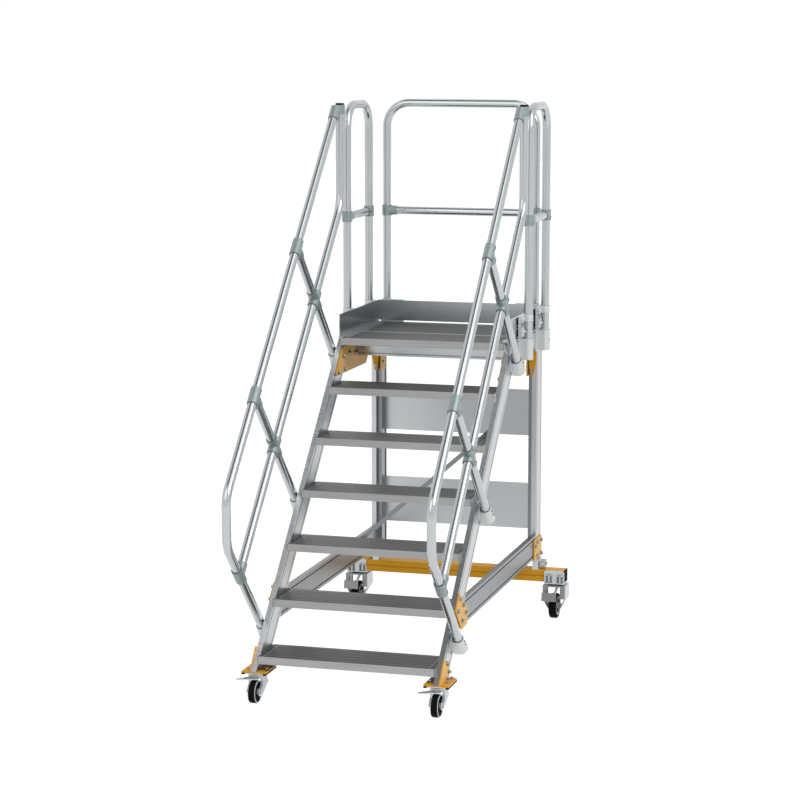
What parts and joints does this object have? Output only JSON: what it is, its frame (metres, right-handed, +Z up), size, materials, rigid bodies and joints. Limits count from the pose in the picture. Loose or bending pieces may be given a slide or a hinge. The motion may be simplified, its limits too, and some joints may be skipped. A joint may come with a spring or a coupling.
{
  "type": "mobile platform stairs",
  "caption": "Wheeled aluminium stairs with ribbed treads, a railed platform, bent tube handrails and braked swivel castors.",
  "frame": {"origin": "on the floor, in the middle of the overall box", "axes": "+Z up, +Y the way a person walks up the stairs, +X to their right"},
  "size_m": [1.141, 2.2526, 2.567],
  "materials": {
    "aluminium_profile": "extruded, satin",
    "tread_aluminium": "extruded, ribbed, dull",
    "sheet_aluminium": "rolled, satin",
    "tube_aluminium": "drawn, polished",
    "cast_fitting": "grey-green enamel",
    "cast_aluminium": "cast, matt",
    "yellow_steel": "powder coated",
    "zinc_steel": "zinc plated",
    "black_plastic": "moulded",
    "black_rubber": "matt",
    "grey_plastic": "moulded",
    "tyre": "solid rubber"
  },
  "bodies": {
    "root": {"back_hoop": "tube_aluminium", "base_rails": "aluminium_profile", "beam_caps": "black_plastic", "brace": "aluminium_profile", "clamp_blocks": "zinc_steel", "column_brackets": "yellow_steel", "column_left": "aluminium_profile", "column_right": "aluminium_profile", "deck_front": "tread_aluminium", "deck_rear": "tread_aluminium", "front_castor_plates": "zinc_steel", "front_plates": "yellow_steel", "handrail_left": "tube_aluminium", "handrail_right": "tube_aluminium", "hoop_connectors": "cast_fitting", "knee_rail_left": "tube_aluminium", "knee_rail_right": "tube_aluminium", "lower_gussets": "yellow_steel", "mid_rails": "tube_aluminium", "panels": "sheet_aluminium", "platform_cross_beams": "aluminium_profile", "platform_nosing": "tread_aluminium", "post_cups": "cast_aluminium", "post_holders": "cast_aluminium", "rail_fittings": "cast_fitting", "rail_plugs": "black_plastic", "rail_posts": "tube_aluminium", "rear_beam": "yellow_steel", "rear_castor_brackets": "zinc_steel", "rubber_strips": "black_rubber", "side_frames": "aluminium_profile", "side_hoop_left": "tube_aluminium", "side_hoop_right": "tube_aluminium", "stringer_left": "aluminium_profile", "stringer_right": "aluminium_profile", "toe_board_back": "sheet_aluminium", "toe_boards_side": "sheet_aluminium", "tread_1": "tread_aluminium", "tread_2": "tread_aluminium", "tread_3": "tread_aluminium", "tread_4": "tread_aluminium", "tread_5": "tread_aluminium", "tread_6": "tread_aluminium", "upper_gussets": "yellow_steel"},
    "castor_front_left": {"fork_front_left": "zinc_steel"},
    "wheel_front_left": {"rim_front_left": "grey_plastic", "tyre_front_left": "tyre"},
    "castor_front_right": {"fork_front_right": "zinc_steel"},
    "wheel_front_right": {"rim_front_right": "grey_plastic", "tyre_front_right": "tyre"},
    "castor_rear_left": {"fork_rear_left": "zinc_steel"},
    "wheel_rear_left": {"rim_rear_left": "grey_plastic", "tyre_rear_left": "tyre"},
    "castor_rear_right": {"fork_rear_right": "zinc_steel"},
    "wheel_rear_right": {"rim_rear_right": "grey_plastic", "tyre_rear_right": "tyre"}
  },
  "joints": [
    {"name": "swivel_front_left", "type": "hinge", "parent": "root", "child": "castor_front_left", "pos_m": [-0.412, -0.82805, 0.1], "axis": [0, 0, 1], "continuous": true},
    {"name": "roll_front_left", "type": "hinge", "parent": "castor_front_left", "child": "wheel_front_left", "pos_m": [-0.412, -0.87305, 0.05], "axis": [1, 0, 0], "continuous": true},
    {"name": "swivel_front_right", "type": "hinge", "parent": "root", "child": "castor_front_right", "pos_m": [0.412, -0.82805, 0.1], "axis": [0, 0, 1], "continuous": true},
    {"name": "roll_front_right", "type": "hinge", "parent": "castor_front_right", "child": "wheel_front_right", "pos_m": [0.412, -0.87305, 0.05], "axis": [1, 0, 0], "continuous": true},
    {"name": "swivel_rear_left", "type": "hinge", "parent": "root", "child": "castor_rear_left", "pos_m": [-0.5135, 1.04245, 0.125], "axis": [0, 0, 1], "continuous": true},
    {"name": "roll_rear_left", "type": "hinge", "parent": "castor_rear_left", "child": "wheel_rear_left", "pos_m": [-0.5135, 1.01445, 0.0625], "axis": [1, 0, 0], "continuous": true},
    {"name": "swivel_rear_right", "type": "hinge", "parent": "root", "child": "castor_rear_right", "pos_m": [0.5135, 1.04245, 0.125], "axis": [0, 0, 1], "continuous": true},
    {"name": "roll_rear_right", "type": "hinge", "parent": "castor_rear_right", "child": "wheel_rear_right", "pos_m": [0.5135, 1.01445, 0.0625], "axis": [1, 0, 0], "continuous": true}
  ]
}
